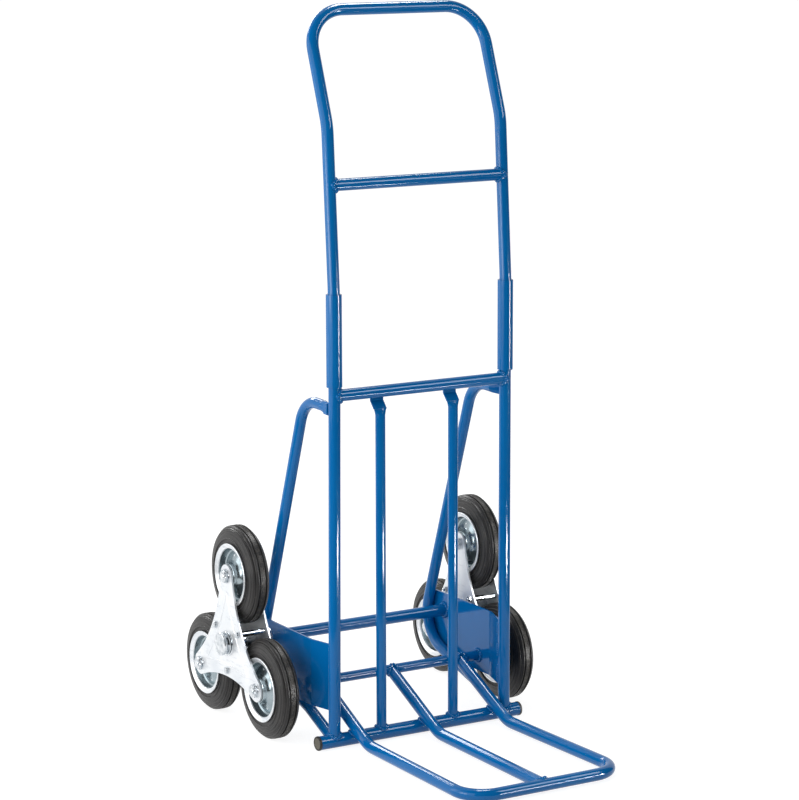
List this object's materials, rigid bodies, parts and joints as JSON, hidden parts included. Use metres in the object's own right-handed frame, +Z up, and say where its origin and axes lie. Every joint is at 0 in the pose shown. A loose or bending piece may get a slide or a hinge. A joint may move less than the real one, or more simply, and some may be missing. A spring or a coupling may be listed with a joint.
{
  "type": "stair climbing trolley",
  "caption": "Tubular hand truck with a welded toe hoop, plug-in push handle and two rotating three-wheel stars that climb stairs.",
  "frame": {"origin": "on the floor under the centre of the whole object's box, midway between the wheel stars", "axes": "+Z up, -Y to the front where the toe reaches out, +X to the right along the axle"},
  "size_m": [0.518, 0.7426, 1.157],
  "materials": {
    "blue_paint": "glossy powder coat",
    "zinc_plate": "bright zinc",
    "rim_zinc": "bright zinc",
    "tyre_rubber": "satin rubber",
    "cap_plastic": "matt",
    "bush_plastic": "matt"
  },
  "bodies": {
    "frame": {"upright_left": "blue_paint", "handle_socket_left": "blue_paint", "inner_bar_left": "blue_paint", "side_brace_left": "blue_paint", "gusset_left": "blue_paint", "upright_right": "blue_paint", "handle_socket_right": "blue_paint", "inner_bar_right": "blue_paint", "side_brace_right": "blue_paint", "gusset_right": "blue_paint", "upper_crossbar": "blue_paint", "lower_crossbar": "blue_paint", "foot_tube": "blue_paint", "axle_shaft": "blue_paint", "toe_hoop": "blue_paint", "toe_centre_bar": "blue_paint", "foot_caps": "cap_plastic", "axle_spacers": "zinc_plate", "axle_washers": "zinc_plate", "axle_caps": "zinc_plate"},
    "handle": {"handle_hoop": "blue_paint", "handle_crossbar": "blue_paint"},
    "star_left": {"star_plate_inner_left": "zinc_plate", "star_plate_outer_left": "zinc_plate", "star_hub_left": "zinc_plate", "wheel_bolts_left": "zinc_plate", "wheel_nuts_left": "zinc_plate", "tie_bolts_left": "zinc_plate", "tie_spacers_left": "zinc_plate", "tie_nuts_left": "zinc_plate", "star_bush_left": "bush_plastic"},
    "star_right": {"star_plate_inner_right": "zinc_plate", "star_plate_outer_right": "zinc_plate", "star_hub_right": "zinc_plate", "wheel_bolts_right": "zinc_plate", "wheel_nuts_right": "zinc_plate", "tie_bolts_right": "zinc_plate", "tie_spacers_right": "zinc_plate", "tie_nuts_right": "zinc_plate", "star_bush_right": "bush_plastic"},
    "wheel_left_top": {"tyre_left_top": "tyre_rubber", "rim_left_top": "rim_zinc", "wheel_bush_left_top": "bush_plastic"},
    "wheel_left_front": {"tyre_left_front": "tyre_rubber", "rim_left_front": "rim_zinc", "wheel_bush_left_front": "bush_plastic"},
    "wheel_left_rear": {"tyre_left_rear": "tyre_rubber", "rim_left_rear": "rim_zinc", "wheel_bush_left_rear": "bush_plastic"},
    "wheel_right_top": {"tyre_right_top": "tyre_rubber", "rim_right_top": "rim_zinc", "wheel_bush_right_top": "bush_plastic"},
    "wheel_right_front": {"tyre_right_front": "tyre_rubber", "rim_right_front": "rim_zinc", "wheel_bush_right_front": "bush_plastic"},
    "wheel_right_rear": {"tyre_right_rear": "tyre_rubber", "rim_right_rear": "rim_zinc", "wheel_bush_right_rear": "bush_plastic"}
  },
  "joints": [
    {"name": "handle_lift", "type": "slide", "parent": "frame", "child": "handle", "axis": [0, 0, 1], "range_m": [0, 0.06]},
    {"name": "star_turn_left", "type": "hinge", "parent": "frame", "child": "star_left", "pos_m": [-0.2193, 0.1952, 0.1355], "axis": [1, 0, 0], "continuous": true},
    {"name": "wheel_turn_left_top", "type": "hinge", "parent": "star_left", "child": "wheel_left_top", "pos_m": [-0.2193, 0.1952, 0.2465], "axis": [1, 0, 0], "continuous": true},
    {"name": "wheel_turn_left_front", "type": "hinge", "parent": "star_left", "child": "wheel_left_front", "pos_m": [-0.2193, 0.09907, 0.08], "axis": [1, 0, 0], "continuous": true},
    {"name": "wheel_turn_left_rear", "type": "hinge", "parent": "star_left", "child": "wheel_left_rear", "pos_m": [-0.2193, 0.29133, 0.08], "axis": [1, 0, 0], "continuous": true},
    {"name": "star_turn_right", "type": "hinge", "parent": "frame", "child": "star_right", "pos_m": [0.2193, 0.1952, 0.1355], "axis": [1, 0, 0], "continuous": true},
    {"name": "wheel_turn_right_top", "type": "hinge", "parent": "star_right", "child": "wheel_right_top", "pos_m": [0.2193, 0.1952, 0.2465], "axis": [1, 0, 0], "continuous": true},
    {"name": "wheel_turn_right_front", "type": "hinge", "parent": "star_right", "child": "wheel_right_front", "pos_m": [0.2193, 0.09907, 0.08], "axis": [1, 0, 0], "continuous": true},
    {"name": "wheel_turn_right_rear", "type": "hinge", "parent": "star_right", "child": "wheel_right_rear", "pos_m": [0.2193, 0.29133, 0.08], "axis": [1, 0, 0], "continuous": true}
  ]
}
